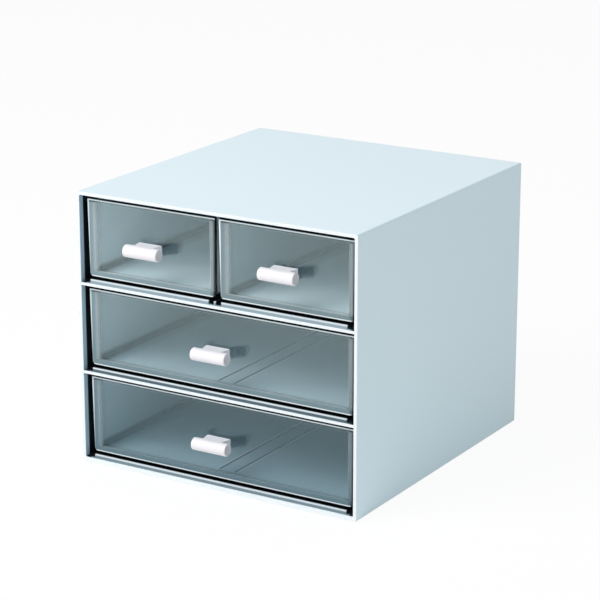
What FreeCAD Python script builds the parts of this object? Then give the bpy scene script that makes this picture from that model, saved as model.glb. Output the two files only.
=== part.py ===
"""Desktop drawer cabinet: a pale plastic case of three tiers, two half-width drawers over two
full-width drawers, each a clear grey tray with a white bar handle. Millimetres, Z up, X to the
right, the fronts face -Y. The origin is the middle of the whole footprint, handles included, on
the surface that the foot pads stand on."""
import FreeCAD, Part
import os
import Sketcher

SIZES = {
    # Case: a one-piece sleeve, open in front
    "case_width": 227.0,
    "case_depth": 238.0,
    "case_height": 200.0,
    "case_wall": 2.4,
    "case_floor": 3.4,
    "case_outer_radius": 1.2,
    "case_inner_radius": 1.0,
    # Foot pads, let into the underside
    "foot_diameter": 12.0,
    "foot_thickness": 1.6,
    "foot_proud": 0.6,
    "foot_inset": 14.0,
    "foot_pocket_gap": 0.1,
    "foot_edge_radius": 0.3,
    # Shelves, slid into grooves of the side walls from behind
    "shelf_thickness": 2.0,
    "shelf_groove": 0.8,
    "shelf_seat_gap": 0.05,
    "shelf_tongue": 1.0,
    # Sill across the front of each shelf, between the skids of the drawer
    "sill_height": 2.6,
    "sill_depth": 2.0,
    "sill_setback": 2.0,
    "sill_end_gap": 0.3,
    "sill_end_radius": 0.6,
    # Pair of thin ribs along the middle of each shelf
    "rib_spacing": 13.0,
    "rib_width": 1.2,
    "rib_height": 2.0,
    "rib_setback": 16.0,
    "rib_rear_gap": 14.0,
    # Low divider between the two upper drawers
    "divider_width": 1.2,
    "divider_height": 2.6,
    # Back panel, snapped into a rebate by four hooks
    "back_thickness": 2.4,
    "back_rebate": 1.2,
    "back_gap": 0.1,
    "hook_width": 14.0,
    "hook_offset": 60.0,
    "hook_length": 6.0,
    "hook_thickness": 1.4,
    "hook_gap": 0.15,
    "nib_length": 1.8,
    "nib_height": 0.8,
    "nib_gap": 0.2,
    # Drawer fronts
    "front_recess": 5.5,
    "front_side_gap": 2.8,
    "front_middle_gap": 2.8,
    "front_top_gap": 2.8,
    "front_lift": 3.6,
    "front_thickness": 2.6,
    "front_taper": 1.3,
    "front_bottom_radius": 3.0,
    "front_top_radius": 0.9,
    "front_edge_radius": 0.7,
    # Drawer trays behind the fronts
    "tray_overhang": 2.1,
    "tray_rise": 0.6,
    "tray_length": 222.0,
    "tray_wall": 2.2,
    "tray_floor": 2.0,
    "tray_rim_drop": 1.5,
    "tray_outer_radius": 2.5,
    "tray_inner_radius": 3.0,
    "skid_width": 2.0,
    "skid_outset": 0.7,
    "skid_setback": 12.0,
    "skid_root": 2.4,
    "rear_pad_length": 12.0,
    "rear_pad_height": 20.0,
    "rear_pad_lift": 6.0,
    "rear_pad_gap": 0.35,
    "drawer_travel": 170.0,
    "stop_gap": 0.5,
    "lug_width": 20.0,
    "lug_depth": 4.0,
    "lug_offset": 55.0,
    "lug_gap": 0.6,
    # Handles: a round bar on a block, held by one screw from inside
    "bar_diameter": 9.0,
    "bar_length": 28.0,
    "bar_edge_radius": 0.6,
    "handle_reach": 10.0,
    "handle_drop": 1.8,
    "bracket_width": 19.2,
    "bracket_nose_width": 15.6,
    "bracket_height": 8.4,
    "bracket_drop": 0.3,
    "bracket_nose": 1.4,
    "bracket_edge_radius": 0.6,
    "pip_diameter": 2.4,
    "pip_length": 2.2,
    "pip_offset": 6.0,
    "pip_hole_gap": 0.1,
    "screw_diameter": 3.0,
    "screw_length": 14.0,
    "screw_head_diameter": 6.0,
    "screw_head_height": 2.2,
    "screw_head_radius": 1.2,
    "screw_hole_gap": 0.2,
    "screw_end_gap": 0.5,
    "screw_thread_gap": 0.05,
    "slot_length": 3.4,
    "slot_width": 0.8,
    "slot_depth": 1.2,
}

# Sizes that follow from the driving ones, as expressions of the sheet
INNER_WIDTH = "(Sizes.case_width - 2 * Sizes.case_wall)"
INNER_HEIGHT = "(Sizes.case_height - Sizes.case_floor - Sizes.case_wall)"
TIER_HEIGHT = f"(({INNER_HEIGHT} - 2 * Sizes.shelf_thickness) / 3)"
BAR_RADIUS = "(Sizes.bar_diameter / 2)"
HANDLE_PROUD = f"(Sizes.handle_reach + {BAR_RADIUS} - Sizes.front_recess)"
CASE_Y = f"({HANDLE_PROUD} / 2)"
FRONT_Y = f"({CASE_Y} - Sizes.case_depth / 2)"
BACK_Y = f"({CASE_Y} + Sizes.case_depth / 2)"
PANEL_Y = f"({BACK_Y} - Sizes.back_thickness)"
DRAWER_Y = f"({FRONT_Y} + Sizes.front_recess)"

CASE_TOP = "(Sizes.foot_proud + Sizes.case_height)"
FLOOR_TOP = "(Sizes.foot_proud + Sizes.case_floor)"
CEILING = f"({FLOOR_TOP} + {INNER_HEIGHT})"
LOWER_SHELF = f"({FLOOR_TOP} + {TIER_HEIGHT})"
LOWER_SHELF_TOP = f"({LOWER_SHELF} + Sizes.shelf_thickness)"
UPPER_SHELF = f"({LOWER_SHELF_TOP} + {TIER_HEIGHT})"
UPPER_SHELF_TOP = f"({UPPER_SHELF} + Sizes.shelf_thickness)"

WIDE_FRONT = f"({INNER_WIDTH} - 2 * Sizes.front_side_gap)"
HALF_FRONT = f"(({WIDE_FRONT} - Sizes.front_middle_gap) / 2)"
HALF_CENTRE = f"((Sizes.front_middle_gap + {HALF_FRONT}) / 2)"
FRONT_HEIGHT = f"({TIER_HEIGHT} - Sizes.front_lift - Sizes.front_top_gap)"
FRONT_TOP = f"(Sizes.front_lift + {FRONT_HEIGHT})"
TRAY_BOTTOM = "(Sizes.front_lift + Sizes.tray_rise)"
CAVITY_BOTTOM = f"({TRAY_BOTTOM} + Sizes.tray_floor)"
TRAY_TOP = f"({FRONT_TOP} - Sizes.tray_rim_drop)"
SIDE_PAD = "(Sizes.front_side_gap + Sizes.tray_overhang - Sizes.rear_pad_gap)"
MIDDLE_PAD = "(Sizes.front_middle_gap / 2 + Sizes.tray_overhang - Sizes.rear_pad_gap / 2)"
LUG_Y = (
    "(Sizes.sill_setback + Sizes.sill_depth - Sizes.front_recess"
    " + Sizes.drawer_travel + Sizes.stop_gap)"
)
SKID_INSIDE = "(Sizes.skid_width - Sizes.skid_outset)"

HANDLE_Z = f"(Sizes.front_lift + {FRONT_HEIGHT} / 2 - Sizes.handle_drop)"
BRACKET_TOP = f"({BAR_RADIUS} - Sizes.bracket_drop)"
HEAD_END = "(Sizes.front_thickness + Sizes.screw_head_height)"
SCREW_TIP = "(Sizes.front_thickness - Sizes.screw_length)"

TOLERANCE = 1e-4
X_AXIS, Y_AXIS, Z_AXIS = range(3)

document = FreeCAD.newDocument("DrawerCabinet")


def make_sheet():
    """The sheet of driving sizes: a name, its value and the alias that expressions use."""
    sheet = document.addObject("Spreadsheet::Sheet", "Sizes")
    for row, (name, value) in enumerate(SIZES.items(), start=1):
        sheet.set(f"A{row}", name.replace("_", " "))
        sheet.set(f"B{row}", str(value))
        sheet.setAlias(f"B{row}", name)
    document.recompute()
    return sheet


def number(expression):
    """The present value of an expression, for finding edges by their place."""
    return float(document.Sizes.evalExpression(expression))


def make_body(name, x="0", y="0", z="0"):
    """A new sub-part, placed at x, y and z."""
    body = document.addObject("PartDesign::Body", name)
    body.Label = name
    for axis, place in (("x", x), ("y", y), ("z", z)):
        body.setExpression(f"Placement.Base.{axis}", place)
    return body


def make_sketch(body, name, role, x, y, z):
    """A sketch on one of the body's own planes, shifted along that plane's own axes."""
    plane = next(item for item in body.Origin.OriginFeatures if item.Role == role)
    sketch = body.newObject("Sketcher::SketchObject", name)
    sketch.AttachmentSupport = (plane, [""])
    sketch.MapMode = "FlatFace"
    for axis, shift in (("x", x), ("y", y), ("z", z)):
        sketch.setExpression(f"AttachmentOffset.Base.{axis}", shift)
    return sketch


def facing_sketch(body, name, x, y, z):
    """A sketch that faces the front, at the depth y. Its normal points forward."""
    return make_sketch(body, name, "XZ_Plane", x, z, f"-({y})")


def limit(sketch, name, expression, *constraint):
    """Adds a named constraint to a sketch and binds its value."""
    sketch.renameConstraint(sketch.addConstraint(Sketcher.Constraint(*constraint)), name)
    sketch.setExpression(f"Constraints.{name}", expression)


def draw_loop(sketch, corner_shares):
    """A closed loop of four lines, first drawn through corners of a unit shape."""
    corners = [FreeCAD.Vector(across, upright, 0) for across, upright in corner_shares]
    following = corners[1:] + corners[:1]
    for start, end in zip(corners, following):
        sketch.addGeometry(Part.LineSegment(start, end), False)
    for line in range(len(corners)):
        sketch.addConstraint(Sketcher.Constraint("Coincident", line, 2, (line + 1) % len(corners), 1))


def rectangle(sketch, across, upright):
    """A rectangle about the sketch's origin."""
    square_shares = [(-1, -1), (1, -1), (1, 1), (-1, 1)]
    draw_loop(sketch, square_shares)
    for line, direction in enumerate(("Horizontal", "Vertical", "Horizontal", "Vertical")):
        sketch.addConstraint(Sketcher.Constraint(direction, line))
    sketch.addConstraint(Sketcher.Constraint("Symmetric", 0, 1, 1, 2, -1, 1))
    limit(sketch, "across", across, "DistanceX", 0, 1, 0, 2, 2)
    limit(sketch, "upright", upright, "DistanceY", 1, 1, 1, 2, 2)


def trapezoid(sketch, bottom, top, upright):
    """An outline that stands on the sketch's level axis and is wider at its top."""
    flared_shares = [(-1, 0), (1, 0), (2, 1), (-2, 1)]
    draw_loop(sketch, flared_shares)
    sketch.addConstraint(Sketcher.Constraint("Symmetric", 0, 1, 0, 2, -2))
    sketch.addConstraint(Sketcher.Constraint("Symmetric", 2, 2, 2, 1, -2))
    sketch.addConstraint(Sketcher.Constraint("PointOnObject", 0, 1, -1))
    limit(sketch, "bottom", bottom, "DistanceX", 0, 1, 0, 2, 2)
    limit(sketch, "top", top, "DistanceX", 2, 2, 2, 1, 4)
    limit(sketch, "upright", upright, "DistanceY", 1, 1, 1, 2, 1)


def circle(sketch, diameter):
    """A circle about the sketch's origin."""
    sketch.addGeometry(Part.Circle(FreeCAD.Vector(), FreeCAD.Vector(0, 0, 1), 1), False)
    sketch.addConstraint(Sketcher.Constraint("Coincident", 0, 3, -1, 1))
    limit(sketch, "diameter", diameter, "Diameter", 0, 2)


def pad(body, sketch, length, name):
    """Grows a profile along its plane's normal."""
    feature = body.newObject("PartDesign::Pad", name)
    feature.Profile = sketch
    feature.setExpression("Length", length)
    document.recompute()
    return feature


def pocket(body, sketch, length, name, along_normal=False):
    """Cuts a profile into the body, against its plane's normal unless told otherwise."""
    before = body.Shape.Volume
    feature = body.newObject("PartDesign::Pocket", name)
    feature.Profile = sketch
    feature.Reversed = along_normal
    feature.setExpression("Length", length)
    document.recompute()
    if body.Shape.Volume >= before:
        raise ValueError(f"{body.Label}: {name} cuts nothing")
    return feature


def box_sketch(body, name, x, y, z):
    """The footprint of a box, at its underside. Each of x, y and z is a pair of limits."""
    middles = [f"({low} + {high}) / 2" for low, high in (x, y)]
    sketch = make_sketch(body, f"{name}_outline", "XY_Plane", *middles, z[0])
    rectangle(sketch, f"{x[1]} - {x[0]}", f"{y[1]} - {y[0]}")
    return sketch


def add_box(body, name, x, y, z):
    """Adds material between the limits."""
    return pad(body, box_sketch(body, name, x, y, z), f"{z[1]} - {z[0]}", name)


def cut_box(body, name, x, y, z):
    """Cuts a hollow between the limits."""
    return pocket(body, box_sketch(body, name, x, y, z), f"{z[1]} - {z[0]}", name, along_normal=True)


def near(first, second):
    """Whether two places are the same."""
    return abs(first - second) < TOLERANCE


def along(edge, axis):
    """Whether an edge is a straight one that runs along the axis."""
    if edge.Degenerated or not isinstance(edge.Curve, Part.Line):
        return False
    return near(abs(edge.Curve.Direction[axis]), 1)


def within(edge, axis, place):
    """Whether an edge lies wholly at one place of the axis."""
    box = edge.BoundBox
    lowest = (box.XMin, box.YMin, box.ZMin)[axis]
    highest = (box.XMax, box.YMax, box.ZMax)[axis]
    return near(lowest, place) and near(highest, place)


def middle(edge, axis):
    """The middle of an edge on the axis."""
    return edge.CenterOfMass[axis]


def round_edges(body, name, radius, chosen):
    """Rounds every edge of the body's present shape that the test chooses."""
    base = body.Tip
    edges = [f"Edge{count}" for count, edge in enumerate(base.Shape.Edges, start=1) if chosen(edge)]
    if not edges:
        raise ValueError(f"{body.Label}: {name} finds no edge")
    feature = body.newObject("PartDesign::Fillet", name)
    feature.Base = (base, edges)
    feature.setExpression("Radius", radius)
    document.recompute()
    return feature


def sill_half(front_width):
    """Half the length of a sill that fits between the skids under a front of this width."""
    return f"({front_width} / 2 - Sizes.tray_overhang - {SKID_INSIDE} - Sizes.sill_end_gap)"


def add_sill(body, name, centre, front_width, top):
    """A low round-ended bar across the front of a shelf whose top is at this height."""
    half = sill_half(front_width)
    near_y = f"({FRONT_Y} + Sizes.sill_setback)"
    far_y = f"({near_y} + Sizes.sill_depth)"
    add_box(
        body,
        name,
        (f"({centre} - {half})", f"({centre} + {half})"),
        (near_y, far_y),
        (top, f"({top} + Sizes.sill_height)"),
    )
    ends = [number(f"{centre} - {half}"), number(f"{centre} + {half}")]
    base_height = number(top)
    round_edges(
        body,
        f"{name}_ends",
        "Sizes.sill_end_radius",
        lambda edge: along(edge, Z_AXIS)
        and middle(edge, Z_AXIS) > base_height
        and any(within(edge, X_AXIS, end) for end in ends),
    )


def add_ribs(body, top):
    """The pair of thin ribs along the middle of a shelf whose top is at this height."""
    for name, side in (("left_rib", -1), ("right_rib", 1)):
        centre = f"({side} * Sizes.rib_spacing / 2)"
        add_box(
            body,
            name,
            (f"({centre} - Sizes.rib_width / 2)", f"({centre} + Sizes.rib_width / 2)"),
            (f"({FRONT_Y} + Sizes.rib_setback)", f"({PANEL_Y} - Sizes.rib_rear_gap)"),
            (top, f"({top} + Sizes.rib_height)"),
        )


def hook_places():
    """Where the four snap hooks sit: a name, the side in X, and whether they hold the top."""
    for row, at_top in (("top", True), ("floor", False)):
        for column, side in (("left", -1), ("right", 1)):
            yield f"{row}_{column}_hook", f"({side} * Sizes.hook_offset)", at_top


def hook_heights(at_top, inner, outer):
    """Limits in Z of a piece of a hook, given as distances in from the ceiling or the floor."""
    if at_top:
        return f"({CEILING} - {inner})", f"({CEILING} - {outer})"
    return f"({FLOOR_TOP} + {outer})", f"({FLOOR_TOP} + {inner})"


def make_case():
    """The sleeve: top, sides and floor in one, with the bottom drawer's sill and ribs."""
    body = make_body("case_shell")
    outline = facing_sketch(body, "outline", "0", BACK_Y, f"(Sizes.foot_proud + {CASE_TOP}) / 2")
    rectangle(outline, "Sizes.case_width", "Sizes.case_height")
    pad(body, outline, "Sizes.case_depth", "block")
    round_edges(body, "outer_corners", "Sizes.case_outer_radius", lambda edge: along(edge, Y_AXIS))

    inside = facing_sketch(body, "inside_outline", "0", FRONT_Y, f"({FLOOR_TOP} + {CEILING}) / 2")
    rectangle(inside, INNER_WIDTH, INNER_HEIGHT)
    pocket(body, inside, "Sizes.case_depth", "inside")
    side = number(f"{INNER_WIDTH} / 2")
    round_edges(
        body,
        "inner_corners",
        "Sizes.case_inner_radius",
        lambda edge: along(edge, Y_AXIS) and near(abs(middle(edge, X_AXIS)), side),
    )

    rebate = facing_sketch(body, "rebate_outline", "0", PANEL_Y, f"({FLOOR_TOP} + {CEILING}) / 2")
    rectangle(
        rebate,
        f"{INNER_WIDTH} + 2 * Sizes.back_rebate",
        f"{INNER_HEIGHT} + 2 * Sizes.back_rebate",
    )
    pocket(body, rebate, "Sizes.back_thickness", "rebate")

    groove_half = f"({INNER_WIDTH} / 2 + Sizes.shelf_groove)"
    for name, height in (("lower_grooves", LOWER_SHELF), ("upper_grooves", UPPER_SHELF)):
        cut_box(
            body,
            name,
            (f"(-{groove_half})", groove_half),
            (FRONT_Y, BACK_Y),
            (
                f"({height} - Sizes.shelf_seat_gap)",
                f"({height} + Sizes.shelf_thickness + Sizes.shelf_seat_gap)",
            ),
        )

    reach = "(Sizes.nib_height + Sizes.nib_gap - Sizes.hook_gap)"
    for name, centre, at_top in hook_places():
        front = f"({PANEL_Y} - Sizes.hook_length - Sizes.nib_gap)"
        half = "(Sizes.hook_width / 2 + Sizes.nib_gap)"
        cut_box(
            body,
            f"{name}_recess",
            (f"({centre} - {half})", f"({centre} + {half})"),
            (front, f"({front} + Sizes.nib_length + 2 * Sizes.nib_gap)"),
            hook_heights(at_top, "0", f"(-{reach})"),
        )

    for column in (-1, 1):
        for row in (-1, 1):
            hole = make_sketch(
                body,
                f"foot_outline_{column + 1}_{row + 1}",
                "XY_Plane",
                f"{column} * (Sizes.case_width / 2 - Sizes.foot_inset)",
                f"{CASE_Y} + {row} * (Sizes.case_depth / 2 - Sizes.foot_inset)",
                "Sizes.foot_thickness",
            )
            circle(hole, "Sizes.foot_diameter + 2 * Sizes.foot_pocket_gap")
            pocket(body, hole, "Sizes.foot_thickness", f"foot_pocket_{column + 1}_{row + 1}")

    add_sill(body, "sill", "0", WIDE_FRONT, FLOOR_TOP)
    add_ribs(body, FLOOR_TOP)
    return body


def make_shelf(name, height):
    """A shelf without its sills: a thin slab that sits in the side grooves and the back panel."""
    body = make_body(name, z=height)
    half = f"({INNER_WIDTH} / 2 + Sizes.shelf_groove - Sizes.shelf_seat_gap)"
    rear = f"({PANEL_Y} + Sizes.shelf_tongue - Sizes.shelf_seat_gap)"
    add_box(body, "slab", (f"(-{half})", half), (FRONT_Y, rear), ("0", "Sizes.shelf_thickness"))
    return body


def make_lower_shelf():
    """The shelf under the middle drawer, with one long sill."""
    body = make_shelf("lower_shelf", LOWER_SHELF)
    add_sill(body, "sill", "0", WIDE_FRONT, "Sizes.shelf_thickness")
    add_ribs(body, "Sizes.shelf_thickness")
    return body


def make_upper_shelf():
    """The shelf under the two upper drawers, with two sills and the low divider."""
    body = make_shelf("upper_shelf", UPPER_SHELF)
    add_sill(body, "left_sill", f"(-{HALF_CENTRE})", HALF_FRONT, "Sizes.shelf_thickness")
    add_sill(body, "right_sill", HALF_CENTRE, HALF_FRONT, "Sizes.shelf_thickness")
    add_ribs(body, "Sizes.shelf_thickness")
    add_box(
        body,
        "divider",
        ("(-Sizes.divider_width / 2)", "(Sizes.divider_width / 2)"),
        (f"({FRONT_Y} + Sizes.sill_setback)", f"({PANEL_Y} - Sizes.rib_rear_gap)"),
        ("Sizes.shelf_thickness", "(Sizes.shelf_thickness + Sizes.divider_height)"),
    )
    return body


def make_back_panel():
    """The back: a plate in the case's rebate, grooved for the shelves, with four snap hooks."""
    body = make_body("back_panel")
    half = f"({INNER_WIDTH} / 2 + Sizes.back_rebate - Sizes.back_gap)"
    margin = "(Sizes.back_rebate - Sizes.back_gap)"
    add_box(
        body,
        "plate",
        (f"(-{half})", half),
        (PANEL_Y, BACK_Y),
        (f"({FLOOR_TOP} - {margin})", f"({CEILING} + {margin})"),
    )
    groove_half = f"({INNER_WIDTH} / 2 + Sizes.shelf_groove)"
    for name, height in (("lower_groove", LOWER_SHELF), ("upper_groove", UPPER_SHELF)):
        cut_box(
            body,
            name,
            (f"(-{groove_half})", groove_half),
            (PANEL_Y, f"({PANEL_Y} + Sizes.shelf_tongue)"),
            (
                f"({height} - Sizes.shelf_seat_gap)",
                f"({height} + Sizes.shelf_thickness + Sizes.shelf_seat_gap)",
            ),
        )
    for name, centre, at_top in hook_places():
        sides = (f"({centre} - Sizes.hook_width / 2)", f"({centre} + Sizes.hook_width / 2)")
        tip = f"({PANEL_Y} - Sizes.hook_length)"
        inner = "(Sizes.hook_gap + Sizes.hook_thickness)"
        add_box(body, name, sides, (tip, PANEL_Y), hook_heights(at_top, inner, "Sizes.hook_gap"))
        add_box(
            body,
            f"{name}_nib",
            sides,
            (tip, f"({tip} + Sizes.nib_length)"),
            hook_heights(at_top, "Sizes.hook_gap", "(Sizes.hook_gap - Sizes.nib_height)"),
        )
    return body


def make_foot_pads():
    """Four round pads, let into the underside of the case and standing a little proud."""
    body = make_body("foot_pads")
    for column in (-1, 1):
        for row in (-1, 1):
            outline = make_sketch(
                body,
                f"pad_outline_{column + 1}_{row + 1}",
                "XY_Plane",
                f"{column} * (Sizes.case_width / 2 - Sizes.foot_inset)",
                f"{CASE_Y} + {row} * (Sizes.case_depth / 2 - Sizes.foot_inset)",
                "0",
            )
            circle(outline, "Sizes.foot_diameter")
            pad(body, outline, "Sizes.foot_thickness", f"pad_{column + 1}_{row + 1}")
    round_edges(body, "rounded_rims", "Sizes.foot_edge_radius", lambda edge: within(edge, Z_AXIS, 0))
    return body


def add_tray_box(body, front_width):
    """The open box of a drawer behind a front of this width."""
    half = f"({front_width} / 2 - Sizes.tray_overhang)"
    add_box(
        body,
        "tray",
        (f"(-{half})", half),
        ("(Sizes.front_thickness / 2)", "Sizes.tray_length"),
        (TRAY_BOTTOM, TRAY_TOP),
    )
    rear = number("Sizes.tray_length")
    bottom = number(TRAY_BOTTOM)

    def outer_corner(edge):
        at_rear = within(edge, Y_AXIS, rear)
        at_bottom = within(edge, Z_AXIS, bottom)
        return (along(edge, Y_AXIS) or at_rear) and at_bottom or along(edge, Z_AXIS) and at_rear

    round_edges(body, "outer_corners", "Sizes.tray_outer_radius", outer_corner)

    inner_half = f"({half} - Sizes.tray_wall)"
    cut_box(
        body,
        "cavity",
        (f"(-{inner_half})", inner_half),
        ("Sizes.front_thickness", "(Sizes.tray_length - Sizes.tray_wall)"),
        (CAVITY_BOTTOM, TRAY_TOP),
    )
    floor = number(CAVITY_BOTTOM)
    side = number(inner_half)

    def inner_corner(edge):
        at_side = near(abs(middle(edge, X_AXIS)), side)
        return within(edge, Z_AXIS, floor) or along(edge, Z_AXIS) and at_side

    round_edges(body, "inner_corners", "Sizes.tray_inner_radius", inner_corner)


def add_front_plate(body, front_width):
    """The front of a drawer: a plate a little wider at its top, with a softly rounded rim."""
    plate = facing_sketch(body, "front_outline", "0", "Sizes.front_thickness", "Sizes.front_lift")
    trapezoid(plate, f"{front_width} - 2 * Sizes.front_taper", front_width, FRONT_HEIGHT)
    pad(body, plate, "Sizes.front_thickness", "front_plate")
    for name, radius, level in (
        ("lower_corners", "Sizes.front_bottom_radius", number("Sizes.front_lift")),
        ("upper_corners", "Sizes.front_top_radius", number(FRONT_TOP)),
    ):
        round_edges(
            body,
            name,
            radius,
            lambda edge: along(edge, Y_AXIS) and within(edge, Z_AXIS, level),
        )
    round_edges(body, "front_rim", "Sizes.front_edge_radius", lambda edge: within(edge, Y_AXIS, 0))


def make_tray(name, centre, shelf_top, front_width, pads, lugs):
    """A clear drawer in one moulding: front plate, tray, skids, lugs and rear guide pads. Its own
    origin is on the shelf below, under the middle of the front face. pads gives how far the left
    and the right rear pad reach out, and lugs the places of the stop lugs in X."""
    body = make_body(name, centre, DRAWER_Y, shelf_top)
    add_tray_box(body, front_width)
    add_front_plate(body, front_width)

    half = f"({front_width} / 2 - Sizes.tray_overhang)"
    straight_end = "(Sizes.tray_length - Sizes.tray_outer_radius)"
    for label, side in (("left_skid", -1), ("right_skid", 1)):
        edges = (f"({side} * ({half} - {SKID_INSIDE}))", f"({side} * ({half} + Sizes.skid_outset))")
        skid_top = f"({TRAY_BOTTOM} + Sizes.skid_root)"
        add_box(body, label, edges[::side], ("Sizes.skid_setback", straight_end), ("0", skid_top))
    pad_start = f"({straight_end} - Sizes.rear_pad_length)"
    pad_bottom = f"({TRAY_BOTTOM} + Sizes.rear_pad_lift)"
    pad_heights = (pad_bottom, f"({pad_bottom} + Sizes.rear_pad_height)")
    for label, side, reach in (("left_pad", -1, pads[0]), ("right_pad", 1, pads[1])):
        edges = (f"({side} * ({half} - Sizes.tray_wall / 2))", f"({side} * ({half} + {reach}))")
        add_box(body, label, edges[::side], (pad_start, straight_end), pad_heights)
    for count, place in enumerate(lugs, start=1):
        add_box(
            body,
            f"lug_{count}",
            (f"({place} - Sizes.lug_width / 2)", f"({place} + Sizes.lug_width / 2)"),
            (LUG_Y, f"({LUG_Y} + Sizes.lug_depth)"),
            ("Sizes.lug_gap", f"({TRAY_BOTTOM} + Sizes.tray_floor / 2)"),
        )

    bore = facing_sketch(body, "screw_outline", "0", "0", HANDLE_Z)
    circle(bore, "Sizes.screw_diameter + 2 * Sizes.screw_hole_gap")
    pocket(body, bore, "Sizes.front_thickness", "screw_hole")
    for label, sign in (("left_hole", -1), ("right_hole", 1)):
        hole = facing_sketch(body, f"{label}_outline", f"{sign} * Sizes.pip_offset", "0", HANDLE_Z)
        circle(hole, "Sizes.pip_diameter + 2 * Sizes.pip_hole_gap")
        pocket(body, hole, "Sizes.pip_length + Sizes.pip_hole_gap", label)
    return body


def make_bar(name, *place):
    """The round bar of a handle, with a blind bore for the screw in its back."""
    body = make_body(name, *place)
    outline = make_sketch(
        body, "outline", "YZ_Plane", "-Sizes.handle_reach", "0", "-Sizes.bar_length / 2"
    )
    circle(outline, "Sizes.bar_diameter")
    pad(body, outline, "Sizes.bar_length", "bar")
    end = number("Sizes.bar_length / 2")
    round_edges(
        body,
        "ends",
        "Sizes.bar_edge_radius",
        lambda edge: within(edge, X_AXIS, end) or within(edge, X_AXIS, -end),
    )
    bore_end = f"({SCREW_TIP} - Sizes.screw_end_gap)"
    bore = facing_sketch(body, "bore_outline", "0", bore_end, "0")
    circle(bore, "Sizes.screw_diameter + 2 * Sizes.screw_thread_gap")
    pocket(body, bore, f"{BAR_RADIUS} - Sizes.handle_reach - {bore_end}", "bore")
    return body


def make_bracket(name, *place):
    """The block between the bar and the drawer front. It narrows towards the bar and is hollowed
    for it, and has two pips behind."""
    body = make_body(name, *place)
    nose = "(Sizes.bracket_nose - Sizes.handle_reach)"
    bottom = f"({BRACKET_TOP} - Sizes.bracket_height)"
    outline = make_sketch(body, "outline", "XY_Plane", "0", nose, bottom)
    trapezoid(outline, "Sizes.bracket_nose_width", "Sizes.bracket_width", f"-{nose}")
    pad(body, outline, "Sizes.bracket_height", "block")
    top = number(BRACKET_TOP)
    round_edges(
        body,
        "upper_edges",
        "Sizes.bracket_edge_radius",
        lambda edge: within(edge, Z_AXIS, top) and not near(middle(edge, X_AXIS), 0),
    )
    saddle = make_sketch(
        body, "saddle_outline", "YZ_Plane", "-Sizes.handle_reach", "0", "Sizes.bracket_width / 2"
    )
    circle(saddle, "Sizes.bar_diameter")
    pocket(body, saddle, "Sizes.bracket_width", "saddle")
    bore = facing_sketch(body, "bore_outline", "0", nose, "0")
    circle(bore, "Sizes.screw_diameter + 2 * Sizes.screw_hole_gap")
    pocket(body, bore, f"-{nose}", "bore")
    for label, sign in (("left_pip", -1), ("right_pip", 1)):
        across = f"{sign} * Sizes.pip_offset"
        pip = facing_sketch(body, f"{label}_outline", across, "Sizes.pip_length", "0")
        circle(pip, "Sizes.pip_diameter")
        pad(body, pip, "Sizes.pip_length", label)
    return body


def make_screw(name, *place):
    """The pan-head screw that goes through the drawer front and the bracket into the bar."""
    body = make_body(name, *place)
    head = facing_sketch(body, "head_outline", "0", HEAD_END, "0")
    circle(head, "Sizes.screw_head_diameter")
    pad(body, head, "Sizes.screw_head_height", "head")
    end = number(HEAD_END)
    round_edges(body, "head_rim", "Sizes.screw_head_radius", lambda edge: within(edge, Y_AXIS, end))
    shank = facing_sketch(body, "shank_outline", "0", "Sizes.front_thickness", "0")
    circle(shank, "Sizes.screw_diameter")
    pad(body, shank, "Sizes.screw_length", "shank")
    slot_bottom = f"({HEAD_END} - Sizes.slot_depth)"
    for label, across, upright in (
        ("level_slot", "Sizes.slot_length", "Sizes.slot_width"),
        ("upright_slot", "Sizes.slot_width", "Sizes.slot_length"),
    ):
        slot = facing_sketch(body, f"{label}_outline", "0", slot_bottom, "0")
        rectangle(slot, across, upright)
        pocket(body, slot, "Sizes.slot_depth", label)
    return body


def make_drawers():
    """The four drawers, each a tray with its handle's bar, bracket and screw."""
    left, right = f"(-{HALF_CENTRE})", HALF_CENTRE
    both_sides = (SIDE_PAD, SIDE_PAD)
    one_lug, two_lugs = ("0",), ("(-Sizes.lug_offset)", "Sizes.lug_offset")
    drawers = (
        ("upper_left", left, UPPER_SHELF_TOP, HALF_FRONT, (SIDE_PAD, MIDDLE_PAD), one_lug),
        ("upper_right", right, UPPER_SHELF_TOP, HALF_FRONT, (MIDDLE_PAD, SIDE_PAD), one_lug),
        ("middle", "0", LOWER_SHELF_TOP, WIDE_FRONT, both_sides, two_lugs),
        ("bottom", "0", FLOOR_TOP, WIDE_FRONT, both_sides, two_lugs),
    )
    for name, centre, shelf_top, front_width, pads, lugs in drawers:
        handle_place = (centre, DRAWER_Y, f"({shelf_top} + {HANDLE_Z})")
        yield make_tray(f"{name}_drawer_tray", centre, shelf_top, front_width, pads, lugs)
        yield make_bar(f"{name}_handle_bar", *handle_place)
        yield make_bracket(f"{name}_handle_bracket", *handle_place)
        yield make_screw(f"{name}_handle_screw", *handle_place)


def check(bodies):
    """Stops at the first object that failed, or sub-part whose shape isn't sound."""
    for item in document.Objects:
        if "Invalid" in item.State or "Error" in item.State:
            raise ValueError(f"{item.Label} failed: {item.State}")
    for body in bodies:
        if body.Shape.isNull() or not body.Shape.isValid():
            raise ValueError(f"{body.Label} has no sound shape")


make_sheet()
parts = [
    make_case(),
    make_lower_shelf(),
    make_upper_shelf(),
    make_back_panel(),
    make_foot_pads(),
    *make_drawers(),
]
document.recompute()
check(parts)
os.makedirs("parts", exist_ok=True)
for part in parts:
    part.Shape.exportStep(f"parts/{part.Label}.step")
    print(f"{part.Label}: {len(part.Shape.Solids)} solid(s), {part.Shape.Volume:.1f} cubic mm")
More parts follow.
